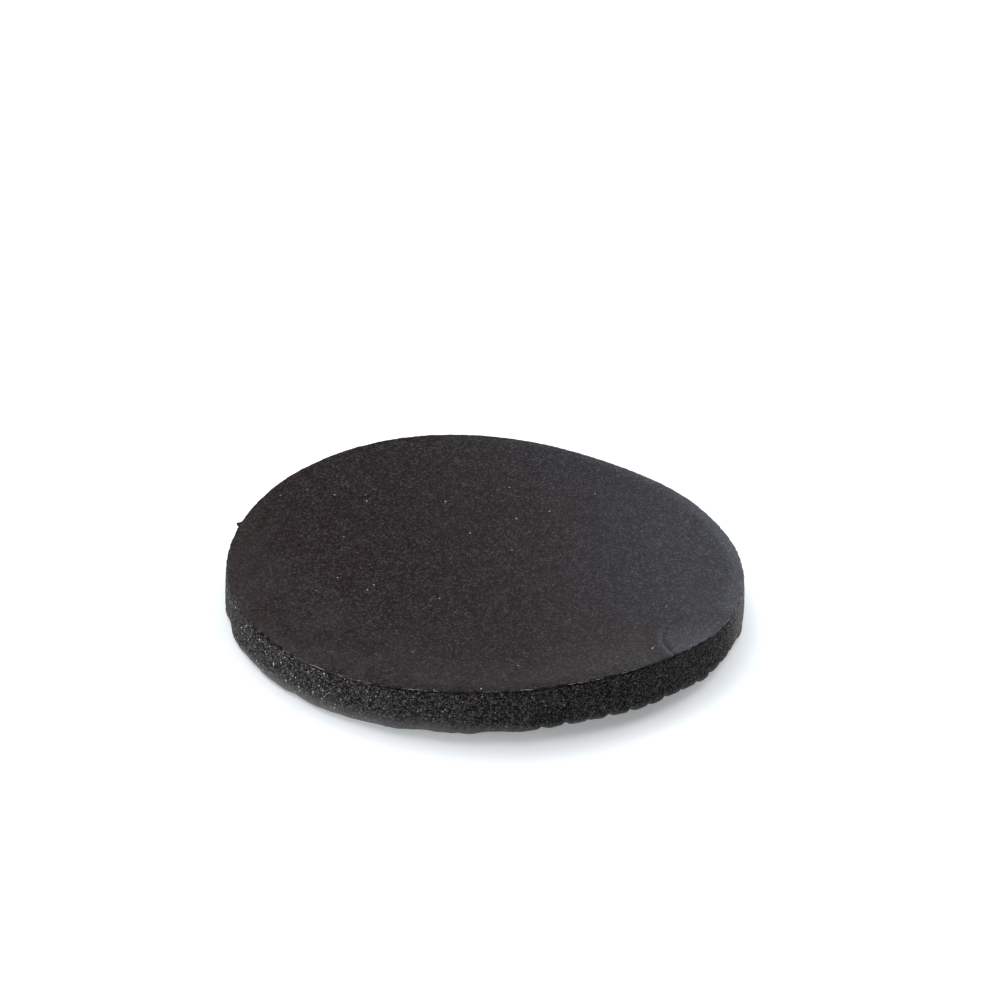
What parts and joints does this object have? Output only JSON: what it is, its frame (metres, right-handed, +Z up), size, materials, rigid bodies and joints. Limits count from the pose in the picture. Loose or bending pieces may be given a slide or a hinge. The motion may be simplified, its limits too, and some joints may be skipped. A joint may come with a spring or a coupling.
{
  "type": "rubber furniture pad",
  "caption": "Flat round foam rubber pad with a ribbed anti-slip underside and a double-sided adhesive tape on its upper face, for sticking under furniture.",
  "frame": {"origin": "centre of the pad on the floor plane, under the rib crests", "axes": "+Z up through the pad's thickness to the sticky face, +Y along the ribs of the tread, +X across them"},
  "size_m": [0.05, 0.05, 0.0061],
  "materials": {
    "foam_rubber": "matte",
    "adhesive": "satin",
    "film": "satin"
  },
  "bodies": {
    "root": {"foam_disc": "foam_rubber", "foam_side_adhesive": "adhesive", "carrier_film": "film", "furniture_side_adhesive": "adhesive"}
  },
  "joints": []
}
